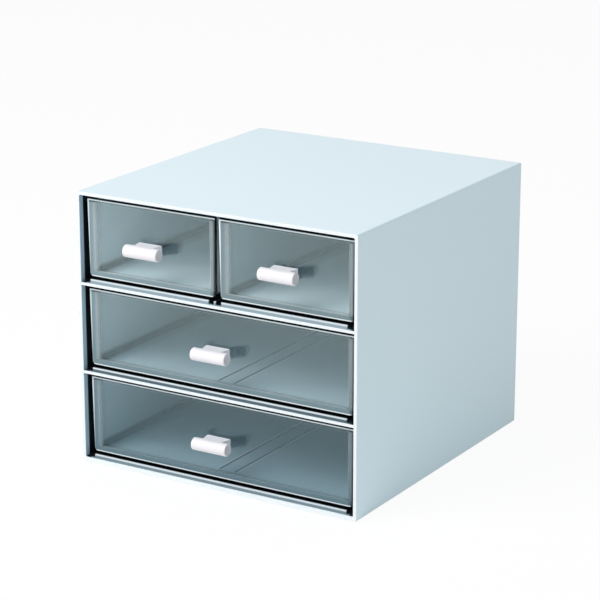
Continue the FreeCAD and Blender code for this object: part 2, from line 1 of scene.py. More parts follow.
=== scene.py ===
# %% [markdown]
# # Desktop mini drawers
# A pale ice-blue sleeve of moulded plastic holds two small drawers side by side over two wide
# ones. The drawers are clear smoke-grey mouldings with white bar handles. The sizes are fixed in
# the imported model, so this lesson only loads it, measures it, softens its edges and gives each
# piece its finish.

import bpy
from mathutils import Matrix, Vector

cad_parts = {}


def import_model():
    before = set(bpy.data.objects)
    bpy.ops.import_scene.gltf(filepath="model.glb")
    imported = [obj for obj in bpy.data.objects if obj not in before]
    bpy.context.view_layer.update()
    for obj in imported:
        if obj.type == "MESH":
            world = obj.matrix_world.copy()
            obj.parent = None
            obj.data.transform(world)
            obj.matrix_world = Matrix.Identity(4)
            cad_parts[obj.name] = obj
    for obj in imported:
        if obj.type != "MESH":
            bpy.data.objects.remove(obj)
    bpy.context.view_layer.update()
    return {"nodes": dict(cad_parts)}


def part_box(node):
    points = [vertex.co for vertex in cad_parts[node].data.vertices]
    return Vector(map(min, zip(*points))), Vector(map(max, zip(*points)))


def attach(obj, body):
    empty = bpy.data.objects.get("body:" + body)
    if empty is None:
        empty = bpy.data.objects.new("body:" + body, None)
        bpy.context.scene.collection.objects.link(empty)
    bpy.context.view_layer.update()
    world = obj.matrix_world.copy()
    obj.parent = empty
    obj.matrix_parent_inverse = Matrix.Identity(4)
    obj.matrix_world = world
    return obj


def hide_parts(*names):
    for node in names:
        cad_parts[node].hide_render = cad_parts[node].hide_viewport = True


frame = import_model()
MM = 0.001

# %% Tools
import math
from types import SimpleNamespace

import bmesh
import bpy
from mathutils import Matrix, Vector

scene = bpy.context.scene

# %% [markdown]
# ## The camera
# The catalogue picture looks down on the right-hand side of the cabinet from far away with a long
# lens, so upright edges stay almost parallel. The camera is placed by two angles round the
# cabinet and a distance, which keeps it easy to change one of them at a time.

# %% Place the camera
case_low, case_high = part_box("case_shell")
CASE_MIDDLE = (Vector(case_low) + Vector(case_high)) / 2
CAMERA_TURN = math.radians(31.453)
CAMERA_TILT = math.radians(16.698)
CAMERA_DISTANCE = 1708.3 * MM
CAMERA_LENS = 141.24
AIM_RIGHT = -2.863 * MM
AIM_UP = 7.626 * MM

level_back = Vector((math.sin(CAMERA_TURN), -math.cos(CAMERA_TURN), 0))
camera_back = level_back * math.cos(CAMERA_TILT) + Vector((0, 0, math.sin(CAMERA_TILT)))
camera_right = Vector((math.cos(CAMERA_TURN), math.sin(CAMERA_TURN), 0))
camera_up = camera_back.cross(camera_right)

aim_point = CASE_MIDDLE + camera_right * AIM_RIGHT + camera_up * AIM_UP
camera_data = bpy.data.cameras.new("picture_camera")
camera_data.lens = CAMERA_LENS
camera = bpy.data.objects.new("picture_camera", camera_data)
axes = Matrix((camera_right, camera_up, camera_back)).transposed()
camera.matrix_world = Matrix.Translation(aim_point + camera_back * CAMERA_DISTANCE) @ axes.to_4x4()
scene.collection.objects.link(camera)
scene.camera = camera
print("camera at", [round(v, 3) for v in camera.location])

# %% [markdown]
# ## Helpers for materials
# Every finish is a shader with a few texture nodes in front of it. Wiring nodes by hand gets
# long, so these helpers add a node, set its sockets by name and link others to them. Masks are
# made from object coordinates: a piece keeps them when its drawer slides, so a mask never slips.

# %% Node helpers
def new_material(name):
    """An empty node material and its node tree."""
    material = bpy.data.materials.new(name)
    material.use_nodes = True
    material.node_tree.nodes.clear()
    return material, material.node_tree


def add_node(tree, kind, inputs=None, **settings):
    """Adds a node. inputs maps a socket to a value or to another node's output socket."""
    node = tree.nodes.new(kind)
    for setting, value in settings.items():
        setattr(node, setting, value)
    for socket, value in (inputs or {}).items():
        if isinstance(value, bpy.types.NodeSocket):
            tree.links.new(value, node.inputs[socket])
        else:
            node.inputs[socket].default_value = value
    return node


def linear(red, green, blue):
    """An sRGB colour from 0 to 255 as the linear colour that a shader reads."""
    def channel(value):
        share = value / 255
        return share / 12.92 if share <= 0.04045 else ((share + 0.055) / 1.055) ** 2.4
    return (channel(red), channel(green), channel(blue), 1.0)


# %% Mask helpers
def math_node(tree, operation, first, second=0.0):
    """The output of a Math node."""
    return add_node(tree, "ShaderNodeMath", {0: first, 1: second}, operation=operation).outputs[0]


def ramp(tree, value, start, end, low=0.0, high=1.0):
    """Goes from low to high while value goes from start to end."""
    places = {"Value": value, "From Min": start, "From Max": end, "To Min": low, "To Max": high}
    return add_node(tree, "ShaderNodeMapRange", places).outputs[0]


def past(tree, value, place, blur):
    """Rises from 0 to 1 over a width of blur, which starts at the place."""
    return ramp(tree, value, place, place + blur)


def before(tree, value, place, blur):
    """Falls from 1 to 0 over a width of blur, which starts at the place."""
    return ramp(tree, value, place, place + blur, 1.0, 0.0)


def band(tree, value, start, end, blur):
    """1 where value lies between start and end, with both sides blurred."""
    rise = past(tree, value, start - blur / 2, blur)
    fall = before(tree, value, end - blur / 2, blur)
    return math_node(tree, "MULTIPLY", rise, fall)


def all_of(tree, *masks):
    """The product of the masks."""
    product = masks[0]
    for mask in masks[1:]:
        product = math_node(tree, "MULTIPLY", product, mask)
    return product


def any_of(tree, *masks):
    """The largest of the masks."""
    largest = masks[0]
    for mask in masks[1:]:
        largest = math_node(tree, "MAXIMUM", largest, mask)
    return largest


def blend_colors(tree, mask, first, second):
    """The first colour where mask is 0, and the second where it is 1."""
    node = add_node(tree, "ShaderNodeMix", {0: mask, 6: first, 7: second}, data_type="RGBA")
    return node.outputs[2]


# %% Place and grain helpers
GRAIN_DETAIL = 3.0
GRAIN_DEPTH = 0.2 * MM


def place_sockets(tree):
    """Where a point lies at rest: as one vector, as x, y and z, and as its distance sideways."""
    point = add_node(tree, "ShaderNodeTexCoord").outputs["Object"]
    split = add_node(tree, "ShaderNodeSeparateXYZ", {0: point})
    x, y, z = split.outputs[0], split.outputs[1], split.outputs[2]
    return SimpleNamespace(point=point, x=x, y=y, z=z, side=math_node(tree, "ABSOLUTE", x))


def add_grain(tree, point, scale, strength, roughness, noise_range=(0.25, 0.75)):
    """A fine noise, with the roughness and the bump that it gives a surface."""
    noise = add_node(tree, "ShaderNodeTexNoise", {
        "Vector": point, "Scale": scale, "Detail": GRAIN_DETAIL}).outputs[0]
    rough = ramp(tree, noise, *noise_range, *roughness)
    bump = add_node(tree, "ShaderNodeBump", {
        "Height": noise, "Strength": strength, "Distance": GRAIN_DEPTH}).outputs[0]
    return noise, rough, bump


# %% [markdown]
# ## The floor
# The cabinet stands in a white sweep. The camera, reflections and things seen through clear
# plastic see it as plain white, while light that bounces from it is that of a real white floor.
# A little of the lit floor is mixed back in, which keeps a soft shadow under the cabinet.

# %% Finish of the floor
PLAIN_WHITE = (1.0, 1.0, 1.0, 1.0)
SWEEP_WHITE = linear(254, 254, 254)
SWEEP_ROUGHNESS = 0.9
SWEEP_GRAIN_SCALE = 900.0
SWEEP_GRAIN_STRENGTH = 0.05
SHADOW_SHARE = 0.08
REFLECTED_SHADOW_SHARE = 0.3


def make_floor_material():
    material, tree = new_material("white_sweep")
    path = add_node(tree, "ShaderNodeLightPath").outputs
    seen_in = math_node(tree, "MAXIMUM", path["Is Glossy Ray"], path["Is Transmission Ray"])
    for_camera = math_node(tree, "MULTIPLY", path["Is Camera Ray"], 1 - SHADOW_SHARE)
    for_gloss = math_node(tree, "MULTIPLY", seen_in, 1 - REFLECTED_SHADOW_SHARE)
    white_share = math_node(tree, "MAXIMUM", for_camera, for_gloss)
    point = add_node(tree, "ShaderNodeTexCoord").outputs["Object"]
    grain = add_node(tree, "ShaderNodeTexNoise", {
        "Vector": point, "Scale": SWEEP_GRAIN_SCALE, "Detail": 2.0})
    bump = add_node(tree, "ShaderNodeBump", {
        "Height": grain.outputs[0], "Strength": SWEEP_GRAIN_STRENGTH, "Distance": GRAIN_DEPTH})
    lit = add_node(tree, "ShaderNodeBsdfPrincipled", {
        "Base Color": SWEEP_WHITE, "Roughness": SWEEP_ROUGHNESS, "Specular IOR Level": 0.0,
        "Normal": bump.outputs[0]})
    plain = add_node(tree, "ShaderNodeEmission", {"Color": PLAIN_WHITE, "Strength": 1.0})
    mixed = add_node(tree, "ShaderNodeMixShader", {
        0: white_share, 1: lit.outputs[0], 2: plain.outputs[0]})
    add_node(tree, "ShaderNodeOutputMaterial", {"Surface": mixed.outputs[0]})
    return material


# %% Lay the floor
FLOOR_SIZE = 6.0
FLOOR_CELLS = 8


def make_floor():
    mesh = bpy.data.meshes.new("floor")
    shape = bmesh.new()
    bmesh.ops.create_grid(
        shape, x_segments=FLOOR_CELLS, y_segments=FLOOR_CELLS, size=FLOOR_SIZE / 2)
    shape.to_mesh(mesh)
    shape.free()
    floor = bpy.data.objects.new("floor", mesh)
    scene.collection.objects.link(floor)
    mesh.materials.append(make_floor_material())
    return floor


floor = make_floor()
print("floor", FLOOR_SIZE, "m wide")

# %% [markdown]
# ## The light
# A catalogue picture of plastic is lit from all round, so that no shadow is hard. The world
# gives that even light, and is seen as plain white itself. A large square lamp in front, high on
# the left, makes the top and the front lighter than the right side, and a weak bluish one keeps
# the right side from going grey.

# %% World
WORLD_STRENGTH = 0.47


def make_world():
    world = bpy.data.worlds.new("white_studio")
    world.use_nodes = True
    tree = world.node_tree
    tree.nodes.clear()
    path = add_node(tree, "ShaderNodeLightPath").outputs
    seen = any_of(
        tree, path["Is Camera Ray"], path["Is Glossy Ray"], path["Is Transmission Ray"])
    strength = ramp(tree, seen, 0.0, 1.0, WORLD_STRENGTH, 1.0)
    background = add_node(tree, "ShaderNodeBackground", {
        "Color": PLAIN_WHITE, "Strength": strength})
    add_node(tree, "ShaderNodeOutputWorld", {"Surface": background.outputs[0]})
    scene.world = world


make_world()
print("world strength", WORLD_STRENGTH)

# %% Lamps
KEY_TOWARD = (-0.35, -0.62, 0.70)
KEY_DISTANCE, KEY_SIZE, KEY_BRIGHTNESS = 2.4, 1.6, 0.76
FILL_TOWARD = (1.0, -0.15, 0.25)
FILL_DISTANCE, FILL_SIZE, FILL_BRIGHTNESS = 2.6, 1.8, 0.07
FILL_COLOR = (0.5, 0.93, 1.0)


def add_softbox(name, toward, distance, size, brightness):
    """A square lamp. A white surface that faces it renders at brightness, where 1 is white."""
    lamp_data = bpy.data.lights.new(name, "AREA")
    lamp_data.shape = "SQUARE"
    lamp_data.size = size
    lamp_data.energy = brightness * math.pi ** 2 * distance ** 2
    lamp = bpy.data.objects.new(name, lamp_data)
    direction = Vector(toward).normalized()
    lamp.location = CASE_MIDDLE + direction * distance
    lamp.rotation_euler = direction.to_track_quat("Z", "Y").to_euler()
    scene.collection.objects.link(lamp)
    return lamp


key = add_softbox("key_softbox", KEY_TOWARD, KEY_DISTANCE, KEY_SIZE, KEY_BRIGHTNESS)
side_fill = add_softbox("side_fill", FILL_TOWARD, FILL_DISTANCE, FILL_SIZE, FILL_BRIGHTNESS)
side_fill.data.color = FILL_COLOR
print("key at", [round(v, 2) for v in key.location])

# %% [markdown]
# ## Where the sleeve's paint goes
# The sleeve is one moulding. Its front edges catch some light on their small radius and are also
# painted almost white, a painted highlight. Just inside the opening the walls get painted shade
# for
# the deep shadow they fall into: real shadow in a gap of 3 mm needs many light bounces and stays
# noisy, so the throat of the opening is painted darker, as a model maker washes dark paint into a
# panel line. Masks say where: each is 1 on its own part of the sleeve and 0 elsewhere.

# %% Places on the sleeve
SLEEVE_WALL = 2.4 * MM
SILL_TO_PLATE = 1.5 * MM
SILL_HEIGHT = 2.6 * MM
SILL_END_X = 107.4 * MM
FRONT_EDGE_Y = case_low[1]
BACK_FACE_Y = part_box("back_panel")[1][1]
PLATE_FRONT_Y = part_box("bottom_drawer_tray")[0][1]
SILL_BACK_Y = PLATE_FRONT_Y - SILL_TO_PLATE
INNER_WALL_X = case_high[0] - SLEEVE_WALL
INNER_FLOOR_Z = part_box("bottom_drawer_tray")[0][2]
INNER_TOP_Z = case_high[2] - SLEEVE_WALL
TIER_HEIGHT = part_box("middle_drawer_tray")[0][2] - INNER_FLOOR_Z
print("front edge at", round(FRONT_EDGE_Y / MM, 1), "plates at", round(PLATE_FRONT_Y / MM, 1))


# %% Masks of the opening
SKIN = 0.2 * MM
SILL_FRONT = 0.5 * MM
SILL_SHADE_START = 1.1 * MM
CEILING_NORMAL = (-0.6, -0.4)


def opening_masks(tree, place):
    """The sleeve's front edge, its inner walls near the front, its sills and its dark throat."""
    inside = all_of(
        tree,
        before(tree, place.side, INNER_WALL_X + 0.1 * MM, SKIN),
        band(tree, place.z, INNER_FLOOR_Z - SKIN, INNER_TOP_Z + SKIN, 0.1 * MM),
        before(tree, place.y, BACK_FACE_Y - 0.8 * MM, 0.3 * MM),
    )
    on_wall = past(tree, place.side, INNER_WALL_X - SKIN, 0.1 * MM)
    on_sill = before(tree, place.side, INNER_WALL_X - SKIN, 0.1 * MM)
    behind_sill = any_of(
        tree,
        all_of(tree, on_sill, past(tree, place.y, SILL_BACK_Y - SILL_SHADE_START, 0.4 * MM)),
        past(tree, place.y, SILL_BACK_Y + 0.3 * MM, 0.4 * MM),
    )
    sill_end = all_of(
        tree,
        band(tree, place.side, SILL_END_X, INNER_WALL_X - 0.1 * MM, SKIN),
        past(tree, place.y, FRONT_EDGE_Y + 0.6 * MM, 0.3 * MM),
    )
    normal = add_node(tree, "ShaderNodeNewGeometry").outputs["Normal"]
    normal_up = add_node(tree, "ShaderNodeSeparateXYZ", {0: normal}).outputs[2]
    not_ceiling = ramp(tree, normal_up, *CEILING_NORMAL)
    behind_edge = past(tree, place.y, FRONT_EDGE_Y + 0.3 * MM, 0.5 * MM)
    on_sill_face = past(tree, place.y, FRONT_EDGE_Y + SILL_FRONT, 0.7 * MM)
    return SimpleNamespace(
        front_edge=before(tree, place.y, FRONT_EDGE_Y + 0.15 * MM, SKIN),
        front_wall=all_of(tree, inside, on_wall, behind_edge),
        sill=all_of(tree, inside, on_sill, on_sill_face),
        throat=all_of(tree, inside, not_ceiling, any_of(tree, behind_sill, sill_end)),
    )


# %% Mask of the seam at the back
SEAM_HALF = 0.3 * MM
SEAM_BLUR = 0.2 * MM


def seam_mask(tree, place):
    """The thin line between the sleeve and the panel that closes its back."""
    def line(value, middle):
        return band(tree, value, middle - SEAM_HALF, middle + SEAM_HALF, SEAM_BLUR)

    between_walls = before(tree, place.side, INNER_WALL_X, 0.3 * MM)
    between_floors = band(
        tree, place.z, INNER_FLOOR_Z - SEAM_HALF, INNER_TOP_Z + SEAM_HALF, SEAM_BLUR)
    at_back = past(tree, place.y, BACK_FACE_Y - 0.9 * MM, 0.2 * MM)
    return all_of(tree, at_back, any_of(
        tree,
        all_of(tree, between_floors, line(place.side, INNER_WALL_X)),
        all_of(tree, between_walls, line(place.z, INNER_TOP_Z)),
        all_of(tree, between_walls, line(place.z, INNER_FLOOR_Z)),
    ))


# %% [markdown]
# ## The sleeve's plastic
# The plastic is matt ice blue with a very fine grain, which one noise texture gives to both its
# roughness and its bump. The sills in front of the drawers get painted half shadow: their faces a
# grey painted shade, darker on the lower tiers, and their tops a painted highlight line.

# %% Paint of the sills
# Painted shade for the sills' faces, darker lower down, and a painted highlight for their tops.
SILL_SHADE = linear(150, 167, 176)
SILL_LOW_SHADE = linear(122, 139, 148)
SILL_MIDDLE_SHADE = linear(84, 101, 110)
SILL_TOP_HIGHLIGHT = linear(212, 221, 226)
SILL_EDGE = 1.1 * MM
UPPER_TIER_Z = (80 * MM, 130 * MM)
MIDDLE_TIER_Z = (60 * MM, 80 * MM)
TIER_BLUR = 4 * MM


def sill_paint(tree, place):
    above_floor = math_node(tree, "SUBTRACT", place.z, INNER_FLOOR_Z)
    above_floor = math_node(tree, "MODULO", above_floor, TIER_HEIGHT)
    on_top = past(tree, above_floor, SILL_HEIGHT - SILL_EDGE, 0.4 * MM)
    upper = ramp(tree, place.z, *UPPER_TIER_Z)
    middle = band(tree, place.z, *MIDDLE_TIER_Z, TIER_BLUR)
    # The grey here is painted shade, not a colour of its own.
    grey = blend_colors(tree, upper, SILL_LOW_SHADE, SILL_SHADE)
    grey = blend_colors(tree, middle, grey, SILL_MIDDLE_SHADE)
    return blend_colors(tree, on_top, grey, SILL_TOP_HIGHLIGHT)


# %% Ice-blue plastic
ICE_BLUE = linear(220, 237, 245)
# A painted highlight for the sleeve's front edge.
EDGE_HIGHLIGHT = linear(232, 238, 241)
# Painted shade: on the inner walls just behind the edge, near black in the throat, dark slate
# deeper in.
THROAT_SHADE = linear(165, 190, 205)
DEEP_SHADOW = (0.004, 0.007, 0.010, 1.0)
INNER_SHADE = linear(84, 104, 114)
SEAM_SHADOW = linear(110, 128, 138)
CASE_GRAIN_SCALE = 2200.0
CASE_GRAIN_STRENGTH = 0.06
CASE_ROUGHNESS = (0.38, 0.52)
THROAT_FADE_Y = (PLATE_FRONT_Y + 12 * MM, PLATE_FRONT_Y + 40 * MM)


def make_case_material():
    material, tree = new_material("ice_blue_plastic")
    place = place_sockets(tree)
    opening = opening_masks(tree, place)
    dark = blend_colors(tree, ramp(tree, place.y, *THROAT_FADE_Y), DEEP_SHADOW, INNER_SHADE)
    # Painted highlight on the front edge, then painted shade on the sills, the inner walls and the
    # throat.
    color = blend_colors(tree, opening.front_edge, ICE_BLUE, EDGE_HIGHLIGHT)
    color = blend_colors(tree, opening.sill, color, sill_paint(tree, place))
    color = blend_colors(tree, opening.front_wall, color, THROAT_SHADE)
    color = blend_colors(tree, opening.throat, color, dark)
    color = blend_colors(tree, seam_mask(tree, place), color, SEAM_SHADOW)
    _, rough, bump = add_grain(
        tree, place.point, CASE_GRAIN_SCALE, CASE_GRAIN_STRENGTH, CASE_ROUGHNESS, (0.0, 1.0))
    shader = add_node(tree, "ShaderNodeBsdfPrincipled", {
        "Base Color": color, "Roughness": rough, "Normal": bump})
    add_node(tree, "ShaderNodeOutputMaterial", {"Surface": shader.outputs[0]})
    return material


case_plastic = make_case_material()
print("made", case_plastic.name)

# %% [markdown]
# ## Where the drawers' paint goes
# A drawer is one clear moulding: a flat front plate with a tub behind it. The painted lines of
# highlight and shade round a plate and the painted shadow in a tub's corners lie at fixed
# distances from the plate's outline. So the outline is measured on each drawer's imported mesh,
# and every mask starts from it.

# %% Measure the drawers
PLATE_THICKNESS = 2.6 * MM
PLATE_BACK_Y = PLATE_FRONT_Y + PLATE_THICKNESS
PLATE_SKIN = 1 * MM
PLATE_OVERHANG = 1.41 * MM
TRAY_WALL = 2.2 * MM
TRAY_FLOOR = 2.0 * MM
FLOOR_LIFT = 0.6 * MM
FILLET_RADIUS = 3.0 * MM


def tray_places(drawer):
    """The four sides of a drawer's front plate, and the tub's inner walls and floor."""
    points = [point.co for point in frame["nodes"][drawer + "_tray"].data.vertices]
    front = [point for point in points if point.y < PLATE_FRONT_Y + PLATE_SKIN]
    left, right = min(p.x for p in front), max(p.x for p in front)
    bottom, top = min(p.z for p in front), max(p.z for p in front)
    return SimpleNamespace(
        left=left, right=right, bottom=bottom, top=top,
        inner_left=left + PLATE_OVERHANG + TRAY_WALL,
        inner_right=right - PLATE_OVERHANG - TRAY_WALL,
        floor=bottom + FLOOR_LIFT + TRAY_FLOOR,
    )


DRAWERS = ("upper_left", "upper_right", "middle", "bottom")
trays = {name: tray_places(name + "_drawer") for name in DRAWERS}
print("plate widths:", [round((tray.right - tray.left) / MM, 1) for tray in trays.values()])

# %% Masks of a plate
RIM_LEFT, RIM_TOP, RIM_BOTTOM, RIM_BLUR = 1.7 * MM, 1.5 * MM, 1.4 * MM, 0.4 * MM
UNDER_RIM, UNDER_RIM_BLUR = 2.6 * MM, 0.5 * MM
LINE_LEFT, LINE_RIGHT, LINE_BOTTOM, LINE_TOP = 0.2 * MM, 0.4 * MM, 0.5 * MM, 0.7 * MM
LINE_BLUR = 0.2 * MM
MARGIN_LEFT, MARGIN_LEFT_BLUR = 0.6 * MM, 4.8 * MM
MARGIN_FLOOR, MARGIN_FLOOR_BLUR = 1.4 * MM, 1.4 * MM
BEYOND = 1 * MM


def plate_masks(tree, tray, place):
    """The plate and its rim's lines, the margin beside the tub's edges, and the fillet."""
    in_plate = before(tree, place.y, PLATE_BACK_Y + 0.1 * MM, 0.1 * MM)
    in_tub = past(tree, place.y, PLATE_BACK_Y + 0.2 * MM, 0.3 * MM)
    fillet_end = PLATE_BACK_Y + FILLET_RADIUS - 0.4 * MM
    fillet = all_of(tree, in_tub, before(tree, place.y, fillet_end, 0.6 * MM))
    margin = any_of(
        tree,
        before(tree, place.x, tray.inner_left + MARGIN_LEFT, MARGIN_LEFT_BLUR),
        before(tree, place.z, tray.floor + MARGIN_FLOOR, MARGIN_FLOOR_BLUR),
    )
    to_right = ramp(tree, place.x, tray.inner_right - 1.2 * MM, tray.right - 0.8 * MM)
    rim_light = any_of(
        tree,
        band(tree, place.x, tray.left - BEYOND, tray.left + RIM_LEFT, RIM_BLUR),
        band(tree, place.z, tray.top - RIM_TOP, tray.top + BEYOND, RIM_BLUR),
        band(tree, place.z, tray.bottom - BEYOND, tray.bottom + RIM_BOTTOM, RIM_BLUR),
    )
    under_rim = band(tree, place.z, tray.top - UNDER_RIM, tray.top - RIM_TOP, UNDER_RIM_BLUR)
    rim_dark = any_of(
        tree,
        before(tree, place.x, tray.left + LINE_LEFT, LINE_BLUR),
        past(tree, place.x, tray.right - LINE_RIGHT, LINE_BLUR),
        before(tree, place.z, tray.bottom + LINE_BOTTOM, LINE_BLUR),
        past(tree, place.z, tray.top - LINE_TOP, LINE_BLUR),
    )
    return SimpleNamespace(
        in_tub=in_tub,
        fillet=fillet,
        margin=all_of(tree, in_plate, margin),
        right_band=all_of(tree, any_of(tree, in_plate, fillet), to_right),
        rim_light=all_of(tree, in_plate, rim_light),
        under_rim=all_of(tree, in_plate, under_rim),
        rim_dark=all_of(tree, in_plate, rim_dark),
    )


# %% Masks of a tub
CORNER_WIDTH = 5.4 * MM
CORNER_GAIN = 1.4
GAP_SHADOW_Y = (-94 * MM, -80 * MM)
INNER_SKIN = 1.2 * MM


def tub_masks(tree, tray, in_tub, place):
    """The tub's floor, the corners where it meets the walls, and the walls' outer sides."""
    right_start = tray.inner_right - CORNER_WIDTH
    by_wall = any_of(
        tree,
        ramp(tree, place.x, tray.inner_left, tray.inner_left + CORNER_WIDTH, CORNER_GAIN, 0.0),
        ramp(tree, place.x, right_start, tray.inner_right, 0.0, CORNER_GAIN),
    )
    by_floor = ramp(tree, place.z, tray.floor, tray.floor + CORNER_WIDTH, CORNER_GAIN, 0.0)
    inner_skin = all_of(
        tree, in_tub,
        past(tree, place.x, tray.inner_left - INNER_SKIN, LINE_BLUR),
        before(tree, place.x, tray.inner_right + INNER_SKIN - LINE_BLUR, LINE_BLUR),
        past(tree, place.z, tray.floor - INNER_SKIN, LINE_BLUR),
    )
    outer_skin = any_of(
        tree,
        before(tree, place.x, tray.inner_left - TRAY_WALL + 0.1 * MM, 0.1 * MM),
        past(tree, place.x, tray.inner_right + TRAY_WALL - 0.2 * MM, 0.1 * MM),
    )
    near_plate = ramp(tree, place.y, *GAP_SHADOW_Y, 1.0, 0.0)
    return SimpleNamespace(
        floor=before(tree, place.z, tray.floor + 1 * MM, 2 * MM),
        corner=math_node(tree, "MINIMUM", all_of(tree, by_wall, by_floor, inner_skin), 1.0),
        gap_shadow=all_of(tree, outer_skin, in_tub, near_plate),
    )


# %% [markdown]
# ## The haze of a tub
# The walls and the floor of a tub are a little milky, and light and shade are painted into their
# colour. The haze is painted lightest near the plates and in the upper drawers, and darker towards
# the back and the floor, where less light comes in; a slow noise keeps it from being even. The
# corners are drawn as soft dark lines of painted shade, and the outer sides get painted shade in
# the narrow gap behind the plate. The floor of a wide drawer also shows the two guide ribs under
# it, each as a painted dark line of shade and a painted light line of highlight.

# %% Paint of the haze
# Haze colours with painted light near the front and up high, and painted shade far back and low.
NEAR_LIGHT_LOW = (0.50, 0.63, 0.68, 1.0)
NEAR_LIGHT_HIGH = (0.87, 0.96, 0.99, 1.0)
FAR_SHADE_LOW = (0.07, 0.13, 0.17, 1.0)
FAR_SHADE_HIGH = (0.76, 0.95, 1.0, 1.0)
# Painted shade for the tub's corner lines and the ribs' dark lines.
LINE_SHADE = (0.030, 0.046, 0.054, 1.0)
# Painted shade for the gaps, the rim's outline and the dark band on the right.
EDGE_SHADE = (0.006, 0.012, 0.015, 1.0)
# A painted highlight for the light lines along the rims and the ribs.
LINE_HIGHLIGHT = linear(232, 239, 242)
HAZE_DEPTH_Y = (-80 * MM, 110 * MM)
CLOUD_SCALE = 28.0
CLOUD_RANGE = (0.35, 0.65)
CLOUD_SHARE = 0.07
WALL_FADE = (0.2 * MM, 3 * MM)
FLOOR_FADE = (2 * MM, 16 * MM)
FLOOR_SHADE = 0.55


def haze_paint(tree, tray, tub, place, level, wall_shade):
    """wall_shade lays painted shade on the left wall, from 0 to 1, where a drawer shows it dark.
    """
    near = blend_colors(tree, level, NEAR_LIGHT_LOW, NEAR_LIGHT_HIGH)
    far = blend_colors(tree, level, FAR_SHADE_LOW, FAR_SHADE_HIGH)
    color = blend_colors(tree, ramp(tree, place.y, *HAZE_DEPTH_Y), near, far)
    cloud = add_node(tree, "ShaderNodeTexNoise", {
        "Vector": place.point, "Scale": CLOUD_SCALE, "Detail": 2.0}).outputs[0]
    cloud_share = ramp(tree, cloud, *CLOUD_RANGE, 0.0, CLOUD_SHARE)
    color = blend_colors(tree, cloud_share, color, FAR_SHADE_LOW)
    wall_start, wall_end = (tray.inner_left + away for away in WALL_FADE)
    left_wall = ramp(tree, place.x, wall_start, wall_end, wall_shade, 0.0)
    color = blend_colors(tree, left_wall, color, FAR_SHADE_LOW)
    # Painted shade on the floor beside the left wall.
    floor_start, floor_end = (tray.inner_left + away for away in FLOOR_FADE)
    beside_wall = ramp(tree, place.x, floor_start, floor_end, FLOOR_SHADE, 0.0)
    color = blend_colors(tree, all_of(tree, beside_wall, tub.floor), color, FAR_SHADE_LOW)
    color = blend_colors(tree, tub.corner, color, LINE_SHADE)
    return blend_colors(tree, tub.gap_shadow, color, EDGE_SHADE)


# %% Lines of the guide ribs
RIB_X = 6.5 * MM
RIB_HALF, RIB_BLUR = 0.9 * MM, 0.8 * MM
RIB_LIGHT, RIB_LIGHT_BLUR = (1.2 * MM, 2.0 * MM), 0.6 * MM
RIB_START_Y = -99 * MM
WIDE_FLOOR_SHADE = 0.13


def rib_paint(tree, tray, tub, place, color):
    """Paints a little shade on a wide drawer's floor, and a shade line and a highlight line over
    each rib.
    """
    shade = math_node(tree, "MULTIPLY", tub.floor, WIDE_FLOOR_SHADE)
    color = blend_colors(tree, shade, color, FAR_SHADE_LOW)
    dark = band(tree, place.side, RIB_X - RIB_HALF, RIB_X + RIB_HALF, RIB_BLUR)
    light_start, light_end = (RIB_X + away for away in RIB_LIGHT)
    light = band(tree, place.side, light_start, light_end, RIB_LIGHT_BLUR)
    on_floor = before(tree, place.z, tray.floor + 0.3 * MM, LINE_BLUR)
    run = all_of(tree, on_floor, past(tree, place.y, RIB_START_Y, 1 * MM))
    color = blend_colors(tree, all_of(tree, dark, run), color, LINE_SHADE)
    return blend_colors(tree, all_of(tree, light, run), color, LINE_HIGHLIGHT)


# %% [markdown]
# ## The rim of a plate
# Seen at an angle, a thick clear plate shows its own edges, and here they are painted. A painted
# highlight line runs along the left, the top and the bottom, with a black outline of painted shade
# outside it. On the right one looks into the plate's thickness, which is painted as a dark band of
# shade. Beside the tub's left wall and above its floor the tub is seen edge-on through the plate,
# so a slightly darker margin of painted shade joins them, lighter in the upper drawers.

# %% Paint of the rim
# Painted shade for the margin and the fillet, lighter in the upper drawers and darker to the
# right.
MARGIN_LOW = (0.11, 0.17, 0.20, 1.0)
MARGIN_HIGH = (0.185, 0.260, 0.290, 1.0)
FILLET_LOW = (0.60, 0.74, 0.78, 1.0)
FILLET_HIGH = (0.88, 0.97, 0.99, 1.0)
FILLET_SHADE = 0.93
FILLET_FADE = (6 * MM, 2.6 * MM)
MARGIN_SHADE = 0.4


def rim_paint(tree, tray, plate, place, color, level, wall_shade):
    """Lays the fillet, the margin and the rim's lines, all painted highlight and shade, over the
    haze.
    """
    margin = blend_colors(tree, level, MARGIN_LOW, MARGIN_HIGH)
    margin = blend_colors(tree, wall_shade * MARGIN_SHADE, margin, EDGE_SHADE)
    fillet = blend_colors(tree, level, FILLET_LOW, FILLET_HIGH)
    start, end = (tray.inner_right - away for away in FILLET_FADE)
    at_right = ramp(tree, place.x, start, end, 0.0, FILLET_SHADE)
    fillet = blend_colors(tree, at_right, fillet, EDGE_SHADE)
    color = blend_colors(tree, plate.fillet, color, fillet)
    color = blend_colors(tree, plate.margin, color, margin)
    color = blend_colors(tree, plate.right_band, color, EDGE_SHADE)
    color = blend_colors(tree, plate.under_rim, color, EDGE_SHADE)
    color = blend_colors(tree, plate.rim_light, color, LINE_HIGHLIGHT)
    return blend_colors(tree, plate.rim_dark, color, EDGE_SHADE)


# %% [markdown]
# ## The drawers' smoke-grey plastic
# The drawers are thin clear mouldings. A ray that is bent twice in a thin wall leaves it in its
# old direction, so each face only tints what is behind it and mirrors the white room a little,
# which renders without the noise of real glass. Where a mask says so, the painted haze takes the
# place of the clear tint.

# %% Body of the smoke-grey plastic
CLEAR_TINT = (0.96, 0.985, 0.995, 1.0)
HAZE_SHARE = 0.9
RIM_LIGHT_SHARE = 0.9
UNDER_RIM_SHARE = 0.45


